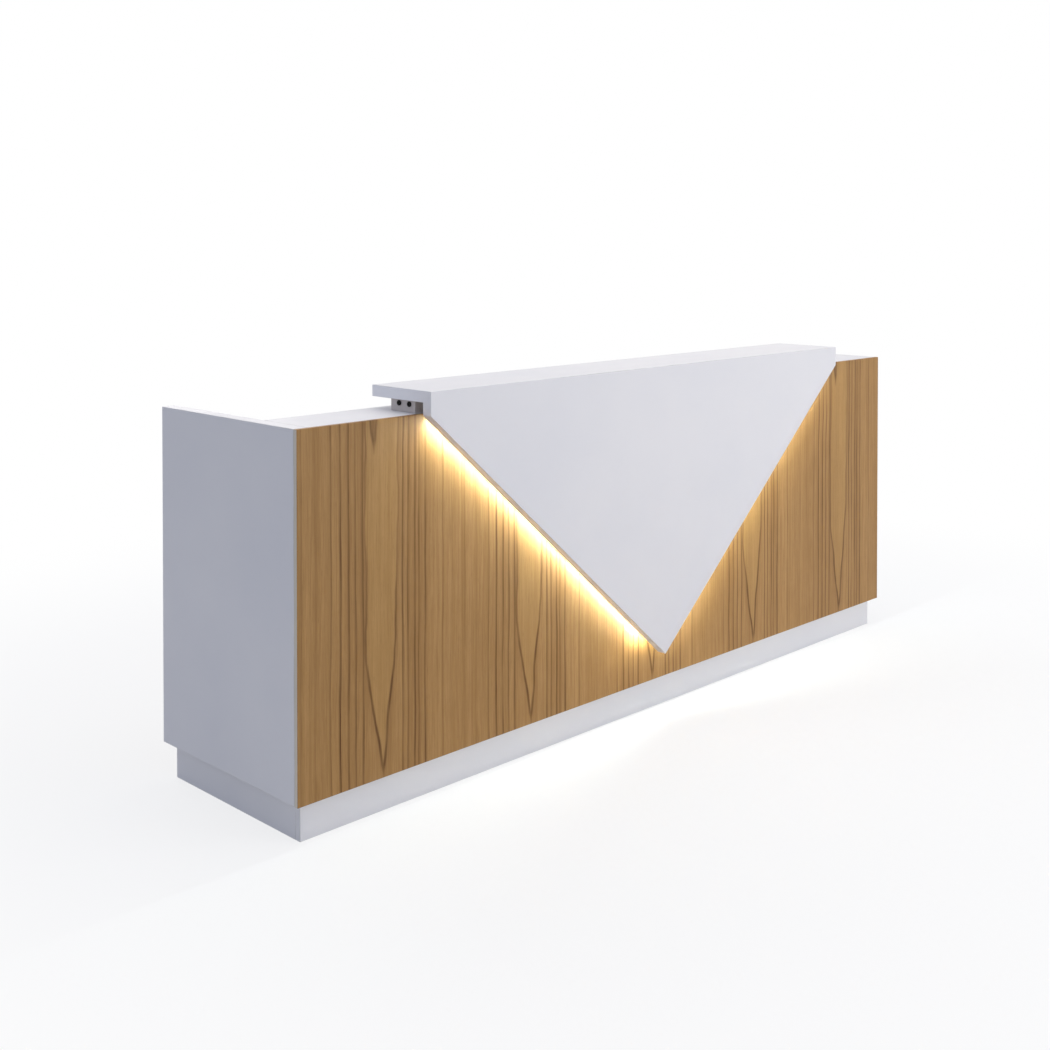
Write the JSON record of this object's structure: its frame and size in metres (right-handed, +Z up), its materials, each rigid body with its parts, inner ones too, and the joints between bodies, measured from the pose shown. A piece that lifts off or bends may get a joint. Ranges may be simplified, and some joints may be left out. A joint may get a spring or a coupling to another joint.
{
  "type": "reception desk",
  "caption": "Straight reception desk with a wood front, a raised counter that folds down into a lit V panel, and a staff worktop with drawers and a cupboard.",
  "frame": {"origin": "on the floor, in the middle of the whole footprint", "axes": "+X along the front to the visitor's right, +Y from the visitor's side to the staff side, +Z up"},
  "size_m": [2.6, 0.652, 1.047],
  "materials": {
    "white_laminate": "satin white laminate",
    "teak_veneer": "satin lacquered veneer",
    "aluminium": "anodised",
    "steel": "zinc plated",
    "black_steel": "black oxide",
    "opal_plastic": "opal",
    "grey_plastic": "fine texture",
    "white_plastic": "gloss"
  },
  "bodies": {
    "desk": {"counter_top": "white_laminate", "cupboard_shelf": "white_laminate", "drawer_runner_bottom_left": "steel", "drawer_runner_bottom_right": "steel", "drawer_runner_middle_left": "steel", "drawer_runner_middle_right": "steel", "drawer_runner_top_left": "steel", "drawer_runner_top_right": "steel", "front_board": "white_laminate", "front_panel": "teak_veneer", "grommet_cap_left": "grey_plastic", "grommet_cap_right": "grey_plastic", "grommet_ring_left": "grey_plastic", "grommet_ring_right": "grey_plastic", "hinge_fixed_leaf_lower": "steel", "hinge_fixed_leaf_upper": "steel", "led_channel_left": "aluminium", "led_channel_right": "aluminium", "led_diffuser_left": "opal_plastic", "led_diffuser_right": "opal_plastic", "led_driver": "grey_plastic", "ledge_divider_left": "white_laminate", "ledge_divider_right": "white_laminate", "pedestal_base_left": "white_laminate", "pedestal_base_right": "white_laminate", "pedestal_side_left": "white_laminate", "pedestal_side_right": "white_laminate", "plinth_front": "white_laminate", "plinth_left": "white_laminate", "plinth_rear_left": "white_laminate", "plinth_rear_right": "white_laminate", "plinth_right": "white_laminate", "riser": "white_laminate", "riser_bolt_left_front": "black_steel", "riser_bolt_left_rear": "black_steel", "riser_bolt_right_front": "black_steel", "riser_bolt_right_rear": "black_steel", "side_panel_left": "white_laminate", "side_panel_right": "white_laminate", "switch_housing": "white_plastic", "top_ledge": "white_laminate", "vee_batten_lower": "white_laminate", "vee_batten_upper": "white_laminate", "vee_panel": "white_laminate", "worktop": "white_laminate", "worktop_cleat": "white_laminate"},
    "drawer_bottom": {"drawer_front_bottom": "teak_veneer", "drawer_tray_bottom": "grey_plastic", "drawer_handle_bottom": "aluminium"},
    "drawer_middle": {"drawer_front_middle": "teak_veneer", "drawer_tray_middle": "grey_plastic", "drawer_handle_middle": "aluminium"},
    "drawer_top": {"drawer_front_top": "teak_veneer", "drawer_tray_top": "grey_plastic", "drawer_handle_top": "aluminium"},
    "cupboard_door": {"cupboard_door": "teak_veneer", "cupboard_handle": "aluminium", "hinge_door_leaf_upper": "steel", "hinge_door_leaf_lower": "steel"},
    "switch_rocker": {"switch_rocker": "white_plastic"}
  },
  "joints": [
    {"name": "drawer_bottom_slide", "type": "slide", "parent": "desk", "child": "drawer_bottom", "axis": [0, 1, 0], "range_m": [0, 0.4]},
    {"name": "drawer_middle_slide", "type": "slide", "parent": "desk", "child": "drawer_middle", "axis": [0, 1, 0], "range_m": [0, 0.4]},
    {"name": "drawer_top_slide", "type": "slide", "parent": "desk", "child": "drawer_top", "axis": [0, 1, 0], "range_m": [0, 0.4]},
    {"name": "cupboard_door_hinge", "type": "hinge", "parent": "desk", "child": "cupboard_door", "pos_m": [1.256, 0.29, 0.4095], "axis": [0, 0, -1], "range_deg": [0, 90]},
    {"name": "switch_rocker_tilt", "type": "hinge", "parent": "desk", "child": "switch_rocker", "pos_m": [0.33, -0.234, 0.85], "axis": [1, 0, 0], "range_deg": [0, 16]}
  ]
}
